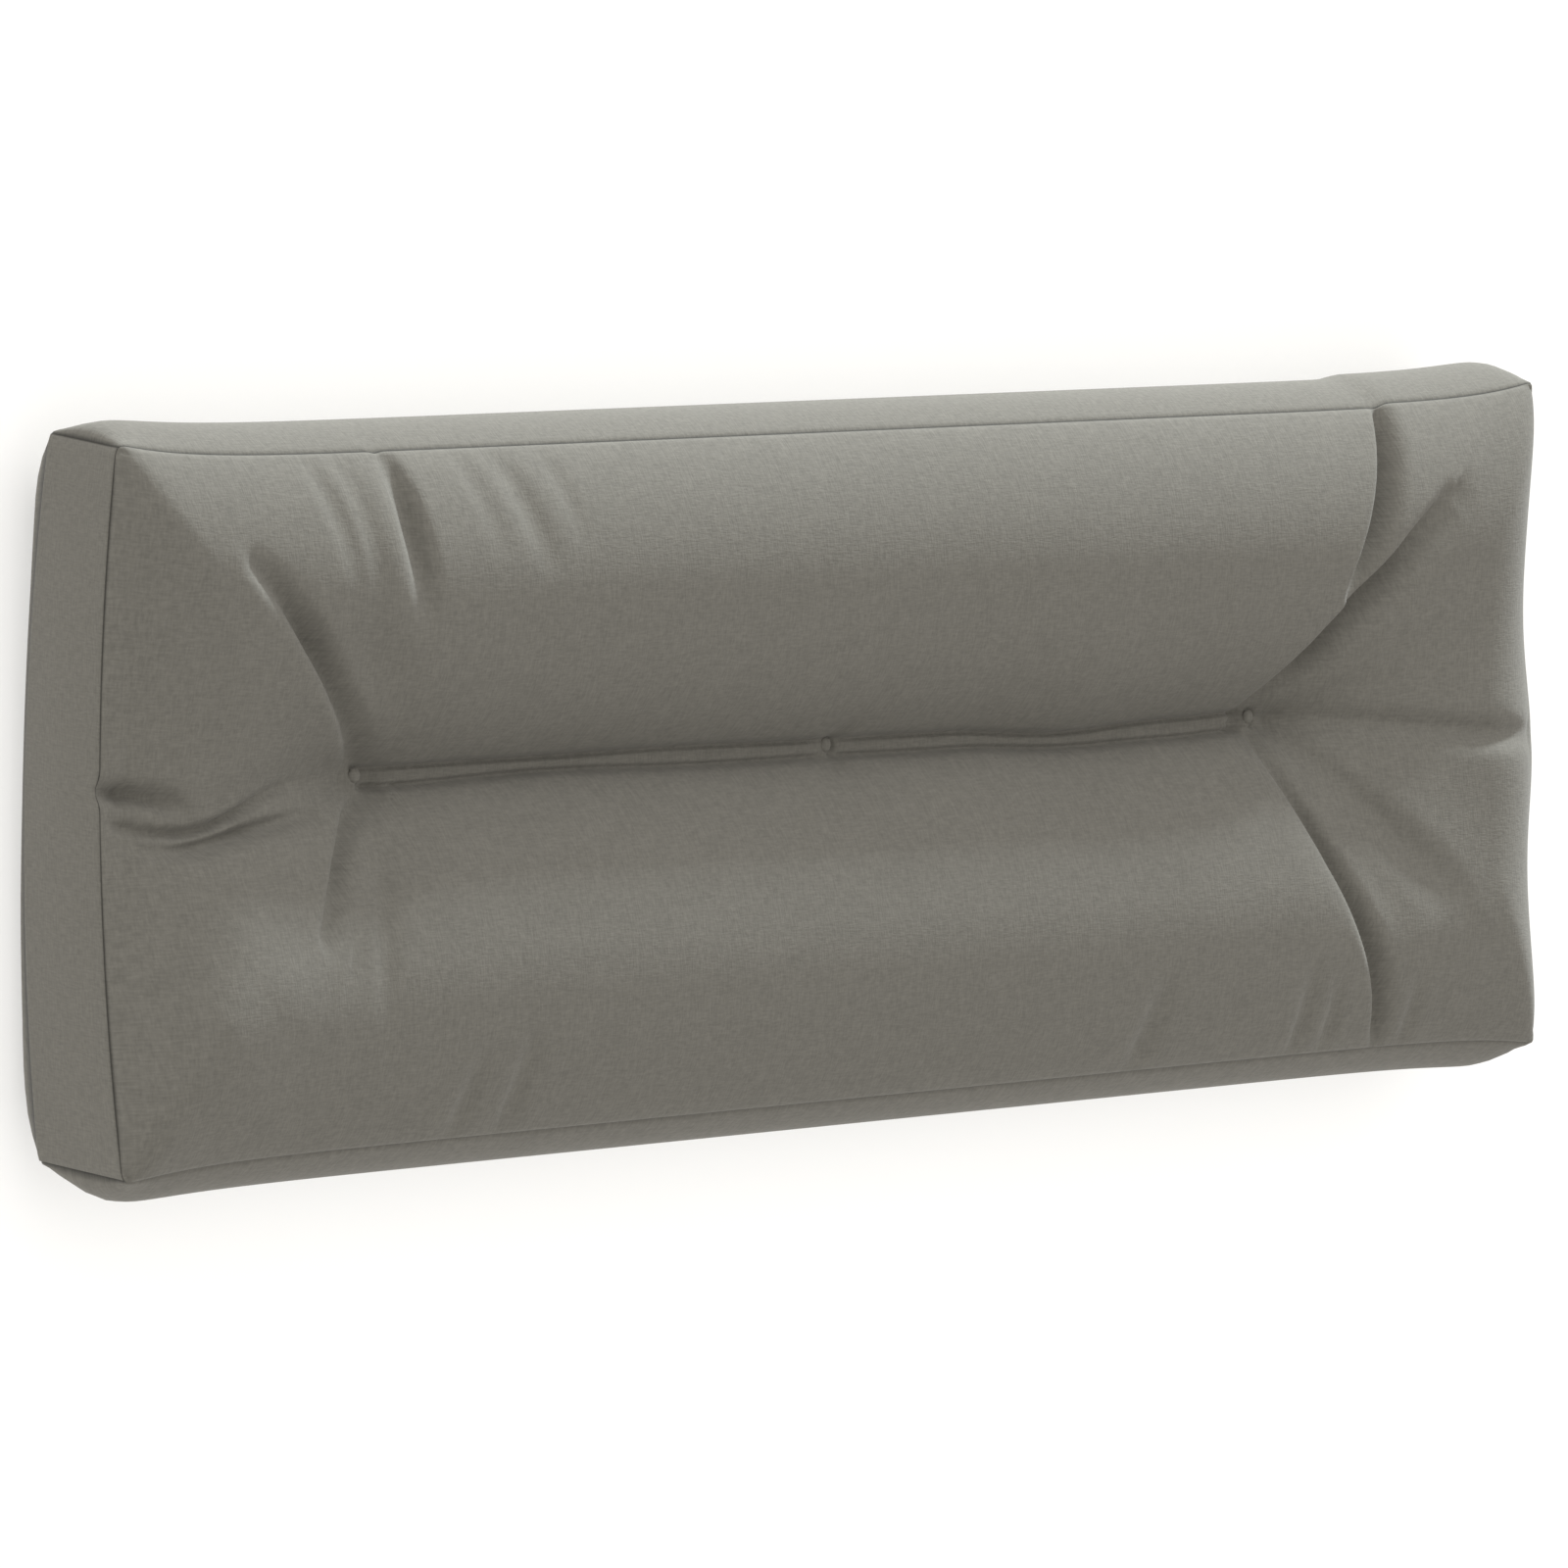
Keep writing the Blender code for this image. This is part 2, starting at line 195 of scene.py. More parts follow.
# %% [markdown]
# Near the seams there are short tucks too, where the panel was eased on to the boxing. A tuck
# holds the panel back from rising, so its depth is a share of the height there, from 0 to 1, and
# the two long tucks dent the seam and the boxing behind it. They could be creases too, but a
# crease fades out beside a seam, and a tuck has to run right into it.

# %% Table of tucks
TUCKS = (
    # name, path, share of the height that is held back, reach on the left and the right, power
    ("long tuck left", ((-0.385, 0.096), (-0.389, 0.120), (-0.393, 0.155), (-0.399, 0.215)),
     (0.00, 0.16, 0.40, 0.55), (0.0090, 0.0056), 1.8),
    ("left tuck 1", ((-0.438, 0.115), (-0.452, 0.165), (-0.465, 0.215)),
     (0.00, 0.05, 0.12, 0.14), (0.007, 0.007), 2),
    ("left tuck 2", ((-0.424, 0.090), (-0.430, 0.160), (-0.442, 0.215)),
     (0.00, 0.05, 0.09, 0.10), (0.007, 0.008), 2),
    ("left tuck 3", ((-0.327, 0.135), (-0.338, 0.175), (-0.349, 0.215)),
     (0.00, 0.04, 0.09, 0.09), (0.007, 0.008), 2),
    ("left tuck 4", ((-0.290, 0.125), (-0.303, 0.165), (-0.319, 0.215)),
     (0.00, 0.07, 0.15, 0.15), (0.009, 0.009), 2),
    ("left tuck 5", ((-0.262, 0.140), (-0.270, 0.170), (-0.281, 0.215)),
     (0.00, 0.03, 0.08, 0.08), (0.006, 0.007), 2),
    ("long tuck right", ((0.401, 0.086), (0.4200, 0.124), (0.4380, 0.165), (0.457, 0.215)),
     (0.12, 0.60, 0.95, 1.05), (0.0046, 0.0080), 1.8),
)
# Each dent: place along the seam, depth, width.
DENTS = ((-0.402, 0.0010, 0.004), (0.450, 0.0025, 0.007))
DENT_REACH = 0.02
NOTCH = {"y": 0.012, "width": 0.006, "depth": 0.0035, "reach": 0.020}
print(len(TUCKS), "tucks")

# %% [markdown]
# ## The cage
#
# The cushion starts as a box of side 2 that is cut evenly. Simple subdivision makes it finer, and
# the front panel, which holds the creases, is cut twice more. Then the lines slide
# closer together where the cloth folds and at the seams. Working on this plain box keeps every
# point's place on the cloth known, from -1 to 1 each way, so that the form is one function of
# it and the weave can lie flat on each panel, as it does on cut cloth.

# %% How close the lines stand
CUTS = (62, 22, 8)
SLIDE_STEPS = 4001
# Each pair below is a place and how far apart the lines stand there, against the other pairs.
ALONG_SPACING = (
    (-0.600, 0.5), (-0.597, 0.8), (-0.588, 2.0), (-0.470, 1.7), (-0.270, 1.7), (-0.235, 3.5),
    (-0.200, 5.0), (-0.034, 5.0), (-0.026, 1.8), (0.000, 1.8), (0.008, 5.0), (0.280, 5.0),
    (0.325, 2.2), (0.360, 1.8), (0.450, 1.8), (0.500, 2.4), (0.588, 2.4), (0.597, 0.8), (0.600, 0.5),
)
ACROSS_SPACING = (
    (-0.200, 0.5), (-0.197, 0.8), (-0.185, 2.5), (-0.120, 3.3), (-0.035, 2.9), (-0.016, 1.0),
    (0.026, 1.0), (0.050, 2.9), (0.120, 3.1), (0.185, 2.4), (0.197, 0.8), (0.200, 0.5),
)
UP_SPACING = (
    (-0.0295, 0.6), (-0.0285, 0.8), (-0.0240, 2.5), (-0.0160, 6.0), (0.0160, 6.0), (0.0240, 2.5),
    (0.0285, 0.8), (0.0295, 0.6),
)


def slide(places, spacing):
    """Moves evenly cut places, from -1 to 1, so that they stand at the given spacing."""
    where, gap = np.array(spacing).T
    dense = np.linspace(where[0], where[-1], SLIDE_STEPS)
    count = np.concatenate([[0], np.cumsum(1 / np.interp((dense[1:] + dense[:-1]) / 2, where, gap))])
    return np.interp((places + 1) / 2, count / count[-1], dense) / where[-1]


def cut_box():
    """The evenly cut box."""
    cage = bmesh.new()
    bmesh.ops.create_cube(cage, size=2.0)
    for axis, cuts in enumerate(CUTS):
        normal = np.eye(3)[axis]
        for place in np.linspace(-1, 1, cuts + 1)[1:-1]:
            bmesh.ops.bisect_plane(
                cage, geom=cage.verts[:] + cage.edges[:] + cage.faces[:], dist=1e-6,
                plane_co=normal * place, plane_no=normal,
            )
    mesh = bpy.data.meshes.new("cage")
    cage.to_mesh(mesh)
    cage.free()
    return mesh


cover = bpy.data.objects.new("cushion_cover", cut_box())
scene.collection.objects.link(cover)
finer = cover.modifiers.new("finer", "SUBSURF")
finer.subdivision_type = "SIMPLE"
finer.levels = finer.render_levels = 1
bpy.context.view_layer.update()
even = bpy.data.meshes.new_from_object(cover.evaluated_get(bpy.context.evaluated_depsgraph_get()))
cover.modifiers.clear()
print("even box:", len(even.vertices), "points,", len(even.polygons), "faces")


# %% Finer cuts of the front panel
def places_of(mesh):
    """The points of a mesh as an array."""
    read = np.empty(len(mesh.vertices) * 3)
    mesh.vertices.foreach_get("co", read)
    return read.reshape(-1, 3)


def cut_front(mesh):
    """Cuts every face of the front panel in four, twice."""
    cage = bmesh.new()
    cage.from_mesh(mesh)
    for _ in range(2):
        on_front = [e for e in cage.edges if min(e.verts[0].co.z, e.verts[1].co.z) > AT_FACE]
        bmesh.ops.subdivide_edges(cage, edges=on_front, cuts=1, use_grid_fill=True)
    cut = bpy.data.meshes.new("cover")
    cage.to_mesh(cut)
    cage.free()
    return cut


cover.data = cut_front(even)
flat = places_of(cover.data).clip(-1, 1)
flat[:, 0] = slide(flat[:, 0], ALONG_SPACING)
flat[:, 1] = slide(flat[:, 1], ACROSS_SPACING)
flat[:, 2] = slide(flat[:, 2], UP_SPACING)
print("cover:", len(cover.data.vertices), "points,", len(cover.data.polygons), "faces")

# %% [markdown]
# ## The filled form
#
# Filling pushes a sewn panel up steeply beside its seams and then levels off, so a shoulder
# rises as a quarter round. Where two shoulders meet at a corner they mitre. The creases are then
# taken out of that form, and their depths add up where they meet. A cloth simulation with
# pressure is the usual way to fill a cushion; a formula was chosen here, so that the form is the
# same each time and the creases stay on their paths.

# %% Shoulders
def rise(distance, reach):
    """From 0 at a seam to 1 at the reach, steep at first."""
    t = np.clip(distance / reach, 0, 1)
    return (1 - (1 - t) ** 2) ** SHOULDER_POWER


def shoulders(x, y):
    """How full a panel is, from 0 at its seams to 1 past the shoulders."""
    v = np.clip(y / (WIDTH / 2), -1, 1)
    corner, upper, lower = LEFT_SHOULDER.values()
    middle = lower + (upper - lower) * (0.5 + 0.5 * np.tanh(v * LEFT_CHANGE["rate"] + LEFT_CHANGE["offset"]))
    left = corner + (middle - corner) * (1 - v**2) ** LEFT_POWER
    along = np.minimum(rise(x + LENGTH / 2, left), rise(LENGTH / 2 - x, SHOULDER["right"]))
    across = np.minimum(rise(y + WIDTH / 2, SHOULDER["bottom"]), rise(WIDTH / 2 - y, SHOULDER["top"]))
    short = ((1 - along) ** MITRE + (1 - across) ** MITRE) ** (1 / MITRE)
    return np.clip(1 - short, 0, 1)


# %% Creases and tucks
def crease(x, y, row):
    """How much one row of a table takes from the panel at each point."""
    _, path, depths, reaches, power = row
    path = np.array(path)
    pull = np.zeros(len(x))
    margin = FAR * max(reaches)
    near = ((x > path[:, 0].min() - margin) & (x < path[:, 0].max() + margin)
            & (y > path[:, 1].min() - margin) & (y < path[:, 1].max() + margin))
    point = np.stack([x[near], y[near]], 1)
    knots = np.linspace(0, 1, len(path))
    t = np.linspace(0, 1, PATH_STEPS)
    route = np.stack([np.polyval(np.polyfit(knots, side, len(path) - 1), t) for side in path.T], 1)
    nearest = np.full(len(point), np.inf)
    off, ahead = np.zeros((2, len(point), 2))
    along = np.zeros(len(point))
    for index, (origin, run) in enumerate(zip(route[:-1], np.diff(route, axis=0))):
        share = np.clip(((point - origin) @ run) / (run @ run), 0, 1)
        apart = point - origin - share[:, None] * run
        away = np.hypot(*apart.T)
        closer = away < nearest
        nearest[closer], off[closer] = away[closer], apart[closer]
        along[closer] = (index + share[closer]) / (PATH_STEPS - 1)
        ahead[closer] = run / np.hypot(*run)
    left = ahead[:, 0] * off[:, 1] - ahead[:, 1] * off[:, 0]
    reach = np.where(left > 0, reaches[0], reaches[1])
    depth = np.interp(along, np.linspace(0, 1, len(depths)), depths)
    away = np.hypot(nearest, CREASE_ROUND) - CREASE_ROUND
    pull[near] = depth * np.exp(-((away / reach) ** power))
    return pull


def dented(x):
    """How far the two long tucks draw in the upper seam, and the boxing by it."""
    return sum(deep * np.exp(-(((x - at) / wide) ** 2)) for at, deep, wide in DENTS)


# %% [markdown]
# ## The row
#
# Between the buttons the panel folds in along one line. The lobes on both sides slope in to it
# like the two sides of a tent, and at the bottom the spare cloth stands up again in a small bead
# with a narrow crease on each side of it. It could be one deep crease, but the bead between two
# fine lines is what shows that there is spare cloth in it.

# %% The row between the buttons
ROW_DEPTH = 0.055
ROW_REACH = {"upper": 0.038, "lower": 0.044}
ROW_ROUND = 0.004
ROW_END = {"left": 0.44, "right": 0.66}
ROW_ON = 0.016
ROW_SOFTER = 0.35
ROW_MIDDLE = ((-0.398, 0.0092), (-0.250, 0.0105), (-0.014, 0.0083), (0.090, 0.0075), (0.190, 0.0030),
              (0.280, 0.0055), (0.358, 0.0074))
BEAD = {"half": 0.0052, "depth": 0.0052, "width": 0.0020, "gap": 0.003, "fade": 0.006}
BEAD_WAVE = {"size": 0.15, "short": 23, "long": 7, "shift": 1}
TINY = 1e-6


def row_path(x):
    """Where the row's middle runs, and half the distance between its two creases."""
    knots, middles = np.array(ROW_MIDDLE).T
    index = np.clip(np.searchsorted(knots, x) - 1, 0, len(knots) - 2)
    t = np.clip((x - knots[index]) / (knots[index + 1] - knots[index]), 0, 1)
    middle = middles[index] + (middles[index + 1] - middles[index]) * t**2 * (3 - 2 * t)
    wave = BEAD_WAVE["size"] * np.sin(x * BEAD_WAVE["short"] + BEAD_WAVE["shift"])
    wave = wave * np.sin(x * BEAD_WAVE["long"])
    return middle, BEAD["half"] * (1 + wave)


def row(x, y):
    """Depth of the row's wide slopes, and of its two narrow creases."""
    middle, half = row_path(x)
    off = y - middle
    first, last = TUFTS[0][0], TUFTS[-1][0]
    beyond = np.maximum(ROW_END["left"] * (first - x), ROW_END["right"] * (x - last - ROW_ON)).clip(0)
    bend = ROW_ROUND + ROW_SOFTER * beyond
    away = np.hypot(off, beyond)
    upper = 0.5 + 0.5 * off / np.maximum(away, TINY)
    reach = ROW_REACH["lower"] + (ROW_REACH["upper"] - ROW_REACH["lower"]) * upper
    wide = ROW_DEPTH * np.exp(-(np.hypot(away, bend) - bend) / reach)
    inside = np.clip(np.minimum(x - first - BEAD["gap"], last - BEAD["gap"] - x) / BEAD["fade"], 0, 1)
    lines = sum(np.exp(-(((off - side * half) / BEAD["width"]) ** 2)) for side in (-1, 1))
    return wide, BEAD["depth"] * inside * lines


# %% Height of the two panels
def front_height(x, y):
    """Height of the front panel over its seams' plane, before the tufts."""
    full = shoulders(x, y)
    wide, lines = row(x, y)
    drawn = sum(crease(x, y, each) for each in CREASES) + wide + lines
    held = np.prod([1 - crease(x, y, each) for each in TUCKS], axis=0)
    return full * FRONT_CROWN * held - np.clip(CREASE_FADE * full, 0, 1) * drawn


def back_height(x, y):
    """Depth of the back panel under its seams' plane, flattened by the weight on it."""
    v = y / (WIDTH / 2)
    depth = BACK_CROWN * shoulders(x, y)
    for tuft_x, tuft_y in TUFTS:
        away = np.hypot(x - tuft_x, y - tuft_y)
        depth -= BACK_TUFT["depth"] * np.exp(-away / BACK_TUFT["reach"])
    return np.clip(depth, 0, BACK_FLAT)


# %% [markdown]
# ## From the plain box to the cushion
#
# On the real cover the seams pull in between the corners, and the boxing swells between the two
# seams. The box could be scaled and bent with modifiers, but here each point is worked out in one
# go from its place on the cloth, so every pull can be read in one function.

# %% The filled form
def rounded(plan_x, plan_y):
    """How far a point near a corner moves in, so that the square corner becomes an arc."""
    into = np.stack([np.abs(plan_x) - LENGTH / 2, np.abs(plan_y) - WIDTH / 2]) + CORNER_RADIUS
    into = np.clip(into, 0, None)
    share = 1 - into.max(0) / np.clip(np.hypot(*into), TINY, None)
    share[into.min(0) <= 0] = 0
    return np.sign(plan_x) * into[0] * share, np.sign(plan_y) * into[1] * share


def tufted(plan_x, plan_y, z):
    """Draws the front panel in to each tuft, whose floor is flat, with a deeper pocket on one side."""
    for tuft_x, tuft_y in TUFTS:
        away = np.hypot(plan_x - tuft_x, plan_y - tuft_y) - TUFT_FLOOR
        share = 1 - np.exp(-np.clip(away, 0, None) / TUFT_REACH)
        turn = np.arctan2(plan_y - tuft_y, plan_x - tuft_x) - math.radians(POCKET["turn"])
        floor = TUFT_Z + LIP["height"] * np.clip(LIP["level"] - LIP["swing"] * np.cos(turn), 0, 1)
        z = floor + (z - floor) * share
        ring = np.exp(-(((away + TUFT_FLOOR - POCKET["radius"]) / POCKET["width"]) ** 2))
        z = z - POCKET["depth"] * ring * np.clip(np.cos(turn), 0, 1)
    return z


def shaped(cage):
    """The filled form of each point of the box, which is given from -1 to 1 each way."""
    u, v, w = cage.T
    plan_x, plan_y = u * LENGTH / 2, v * WIDTH / 2
    in_x, in_y = rounded(plan_x, plan_y)
    between_sides = 1 - v**2
    swell = 1 - w**2
    at_end, at_side = np.abs(u) > AT_FACE, np.abs(v) > AT_FACE
    front, back = w > AT_FACE, w < -AT_FACE

    end_draw = np.where(u < 0, END_DRAW[-1], END_DRAW[1]) * between_sides * u**4
    end_puff = np.where(at_end, END_PUFF * swell * between_sides, 0)
    x = plan_x - in_x - u * end_draw + np.sign(u) * end_puff

    side_draw = np.where(v < 0, SIDE_DRAW[-1], SIDE_DRAW[1]) * (1 - u**DRAW_POWER)
    stepped = 0.5 + 0.5 * np.tanh((plan_x - STEP["x"]) / STEP["width"])
    side_draw -= np.where(v > 0, STEP["size"] * stepped, 0)
    side_puff = np.where(v < 0, BOX_PUFF[-1], BOX_PUFF[1]) * swell * (1 - u**PUFF_POWER)
    y = plan_y - in_y - v * side_draw + np.where(at_side, np.sign(v) * side_puff, 0)
    y = y + LEAN * (1 - w) / 2
    y = y - dented(plan_x) * np.clip(w, 0, 1) * np.exp(-(WIDTH / 2 - plan_y) / DENT_REACH)

    boxing = (BOX_TOP + BOX_BOTTOM) / 2 + v * (BOX_TOP - BOX_BOTTOM) / 2
    z = w * boxing / 2 - END_DIP * u**DIP_POWER * between_sides
    lifted = np.exp(-(((plan_y - END_LIFT["y"]) / END_LIFT["width"]) ** 2)) * np.clip(u, 0, 1) ** DIP_POWER
    z = z + END_LIFT["size"] * lifted * between_sides
    notch = np.exp(-(((plan_y - NOTCH["y"]) / NOTCH["width"]) ** 2) - (plan_x + LENGTH / 2) / NOTCH["reach"])
    z = z - NOTCH["depth"] * notch * np.clip(w, 0, 1)
    raised = z.copy()
    over_front = plan_x[front], plan_y[front]
    raised[front] = tufted(*over_front, z[front] + front_height(*over_front))
    raised[back] = z[back] - back_height(plan_x[back], plan_y[back])
    return np.stack([x, y, raised], 1)


points = shaped(flat)

# %% [markdown]
# ## Seams
#
# At a plain seam both cloths turn in to the stitches, so the seam shows as a fine groove, and the
# cloth rolls up a little on each side of it. Every edge of the plain box is a seam: round the
# front panel, round the back panel, and across the boxing at its four corners. A seam could be
# drawn in the material alone, but a groove in the mesh is also there in the shape itself.

# %% Seam grooves
# The shade in each seam's groove is also painted into the colour: "line" is the width of that painted shade
# line, and "under" its strength along the two lower long seams.
SEAM = {"depth": 0.0007, "width": 0.0006, "line": 0.0004, "under": 0.3, "roll": 0.0002, "roll_place": 0.0025,
        "roll_width": 0.0015}
HALF = np.array([LENGTH, WIDTH, (BOX_TOP + BOX_BOTTOM) / 2]) / 2


def seam_move(flat):
    """How the seams move each point, and how strong the painted seam shade is at each point, from 0 to 1."""
    inward = (1 - np.abs(flat)) * HALF
    move, near = np.zeros((len(flat), 3)), np.zeros(len(flat))
    for a, b in ((0, 1), (0, 2), (1, 2)):
        away = inward[:, a] + inward[:, b]
        out = np.zeros((len(flat), 3))
        out[:, a], out[:, b] = np.sign(flat[:, a]), np.sign(flat[:, b])
        groove = np.exp(-((away / SEAM["width"]) ** 2))
        roll = np.exp(-(((away - SEAM["roll_place"]) / SEAM["roll_width"]) ** 2))
        move += out / math.sqrt(2) * (SEAM["roll"] * roll - SEAM["depth"] * groove)[:, None]
        # Painted shade: a thin line along each seam, weaker along the lower long seams.
        shown = np.where((a == 1) & (flat[:, 1] < 0), SEAM["under"], 1)
        near = np.maximum(near, shown * np.exp(-((away / SEAM["line"]) ** 2)))
    return move, near


seam_shift, seam_shade_line = seam_move(flat)
low, high = points.min(0), points.max(0)
centre = [(low[i] + high[i]) / 2 - (cad_box[0][i] + cad_box[1][i]) / 2 for i in (0, 1)]
shift = np.array([-centre[0], -centre[1], (BOX_BOTTOM + BOX_TOP) / 4 + BACK_FLAT])
points = points + seam_shift + shift
points[:, 2] = np.maximum(points[:, 2], 0)
cover.data.vertices.foreach_set("co", points.ravel())
# The painted seam shade goes to the cloth material in the seam attribute.
cover.data.attributes.new("seam", "FLOAT", "POINT").data.foreach_set("value", seam_shade_line)
cover.data.update()
print("form:", points.min(0).round(4), points.max(0).round(4), "moved by", shift.round(5))


# %% A place on the cloth for every corner of every face
PANEL_APART = 3.7


def cloth_place(mesh, flat):
    """Writes where each face's corners lie on the cut cloth, in metres."""
    layer = mesh.attributes.new("cloth", "FLOAT_VECTOR", "CORNER")
    loops = np.empty(len(mesh.loops), np.int32)
    mesh.loops.foreach_get("vertex_index", loops)
    totals = np.empty(len(mesh.polygons), np.int32)
    mesh.polygons.foreach_get("loop_total", totals)
    face = np.repeat(np.arange(len(totals)), totals)
    at = flat[loops]
    middle = np.stack([np.bincount(face, side) / totals for side in at.T], 1)
    axis = np.abs(middle).argmax(1)
    panel = axis * 2 + (middle[np.arange(len(axis)), axis] > 0)
    x, y, z = (at * HALF).T
    axis = axis[face]
    across = np.where(axis == 0, y, x)
    along = np.where(axis == 2, y, z)
    place = np.stack([across, along, panel[face] * PANEL_APART], 1)
    layer.data.foreach_set("vector", place.ravel())


cloth_place(cover.data, flat)
cover.data.shade_smooth()
print("cloth places written")

# %% [markdown]
# ## The cloth
#
# The cover is a matt cloth, woven from slightly uneven greige yarns, so that it looks like
# linen: short thick places in the yarns run both ways, and catch the light. It could be a picture
# of cloth laid on the panels, but noise that is drawn out along each set of yarns never repeats,
# and it lies straight on each cut panel.

# %% The cloth
COVER_COLOUR = (0.182, 0.175, 0.155)
WEFT, WARP, CLOUDY = (190, 900, 1), (900, 190, 1), (45, 45, 1)
CLOUDY_SHARE = 0.15
NOISE = (("Scale", 1.0), ("Detail", 1.0), ("Roughness", 0.5))
TONE = (("From Min", 0.70), ("From Max", 1.45), ("To Min", 0.86), ("To Max", 1.14))
# How far the painted seam shade darkens the cloth's colour at a seam.
PAINTED_SEAM_SHADE = 0.75
WEAVE = (("Strength", 0.30), ("Distance", 0.0006))
FINISH = (("Roughness", 0.92), ("Specular IOR Level", 0.25), ("Sheen Weight", 0.12), ("Sheen Roughness", 0.5))


def cloth_material(name, colour):
    """Cloth with uneven yarns both ways, and painted shade darkening its colour along the seams."""
    made = bpy.data.materials.new(name)
    made.use_nodes = True
    tree = made.node_tree
    add, link = tree.nodes.new, tree.links.new
    shader = tree.nodes["Principled BSDF"]

    def node(kind, inputs=(), **settings):
        new = add(kind)
        for key, value in settings.items():
            setattr(new, key, value)
        for key, value in inputs:
            if isinstance(value, bpy.types.NodeSocket):
                link(value, new.inputs[key])
            else:
                new.inputs[key].default_value = value
        return new

    place = node("ShaderNodeAttribute", attribute_name="cloth").outputs["Vector"]
    seam = node("ShaderNodeAttribute", attribute_name="seam").outputs["Fac"]

    def yarns(scale):
        stretched = node("ShaderNodeVectorMath", ((0, place), (1, scale)), operation="MULTIPLY")
        return node("ShaderNodeTexNoise", (("Vector", stretched.outputs[0]), *NOISE)).outputs["Fac"]

    weft, warp, cloudy = yarns(WEFT), yarns(WARP), yarns(CLOUDY)
    both = node("ShaderNodeMath", ((0, weft), (1, warp)), operation="ADD").outputs[0]
    varied = node("ShaderNodeMath", ((0, cloudy), (1, CLOUDY_SHARE), (2, both)),
                  operation="MULTIPLY_ADD").outputs[0]
    tone = node("ShaderNodeMapRange", (("Value", varied), *TONE)).outputs[0]
    # Painted shade: the cloth's colour is darkened along the seam lines.
    shade = node("ShaderNodeMath", ((0, seam), (1, -PAINTED_SEAM_SHADE), (2, 1.0)),
                 operation="MULTIPLY_ADD").outputs[0]
    value = node("ShaderNodeMath", ((0, tone), (1, shade)), operation="MULTIPLY").outputs[0]
    dyed = node("ShaderNodeVectorMath", ((0, colour), ("Scale", value)), operation="SCALE").outputs[0]
    link(dyed, shader.inputs["Base Color"])
    bump = node("ShaderNodeBump", (*WEAVE, ("Height", both)))
    link(bump.outputs["Normal"], shader.inputs["Normal"])
    for key, value in FINISH:
        shader.inputs[key].default_value = value
    return made


cover.data.materials.clear()
cover.data.materials.append(cloth_material("cover_cloth", COVER_COLOUR))
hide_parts("cushion")
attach(cover, "root")
print("cover done")

# %% [markdown]
# ## Covered buttons
#
# A covered button is usually a small metal shell wrapped in the same cloth: a low dome that
# curves down to a narrow rim. It sits on the floor of its tuft. A flattened ball would do from
# far off, but a turned outline gives the rim and lets the cloth pleat a little round it.

# %% Buttons
BUTTON_RADIUS = 0.0043
BUTTON_DOME = 0.0027
BUTTON_TURNS = 40
PLEATS = {"count": 11, "depth": 0.012}
# Each point: share of the radius, share of the dome's height.
BUTTON_OUTLINE = ((0.86, 0.00), (0.97, 0.06), (1.00, 0.18), (0.99, 0.32), (0.94, 0.46), (0.85, 0.62),
                  (0.72, 0.77), (0.56, 0.88), (0.38, 0.96), (0.19, 0.995))


def button_mesh(name, centre, base):
    """A covered button, turned from its outline."""
    made = bmesh.new()
    rings = []
    for radius, height in BUTTON_OUTLINE:
        ring = []
        for turn in range(BUTTON_TURNS):
            angle = 2 * math.pi * turn / BUTTON_TURNS
            pleat = 1 + PLEATS["depth"] * math.cos(PLEATS["count"] * angle) * (1 - height)
            ring.append(made.verts.new((
                centre[0] + BUTTON_RADIUS * radius * pleat * math.cos(angle),
                centre[1] + BUTTON_RADIUS * radius * pleat * math.sin(angle),
                base + BUTTON_DOME * height,
            )))
        rings.append(ring)
    for lower, upper in zip(rings, rings[1:]):
        for i in range(BUTTON_TURNS):
            j = (i + 1) % BUTTON_TURNS
            made.faces.new((lower[i], lower[j], upper[j], upper[i]))
    made.faces.new(rings[-1])
    made.faces.new(rings[0][::-1])
    mesh = bpy.data.meshes.new(name)
    made.to_mesh(mesh)
    made.free()
    mesh.shade_smooth()
    place = mesh.attributes.new("cloth", "FLOAT_VECTOR", "CORNER")
    where = places_of(mesh)[[loop.vertex_index for loop in mesh.loops]]
    place.data.foreach_set("vector", where.ravel())
    mesh.attributes.new("seam", "FLOAT", "POINT")
    return mesh


pieces = bpy.data.collections.new("pieces")
for each in [*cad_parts.values(), cover]:
    pieces.objects.link(each)
button_cloth = cloth_material("button_cloth", COVER_COLOUR)
for name in ("tuft_button_1", "tuft_button_2", "tuft_button_3"):
    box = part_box(name)
    centre = [(box[0][i] + box[1][i]) / 2 for i in (0, 1)]
    turned_mesh = button_mesh(name, centre, box[0][2])
    button = bpy.data.objects.new("covered_" + name.removeprefix("tuft_"), turned_mesh)
    scene.collection.objects.link(button)
    button.data.materials.append(button_cloth)
    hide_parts(name)
    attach(button, "root")
    pieces.objects.link(button)
    print(button.name, "at", [round(c, 4) for c in centre], "base", round(box[0][2], 4))

# %% [markdown]
# ## Floor, light and camera
#
# The cushion is shown in a pale studio. One lamp, hardly above the floor, shows the relief; a
# weak one higher up opens the shadows; and a third lights the floor alone, so that it stays
# white. An even, bright world would be simpler, but it would show little of the creases. Each
# lamp's strength is worked out from the level that it adds, so that it can be moved nearer or
# further away and still add the same.

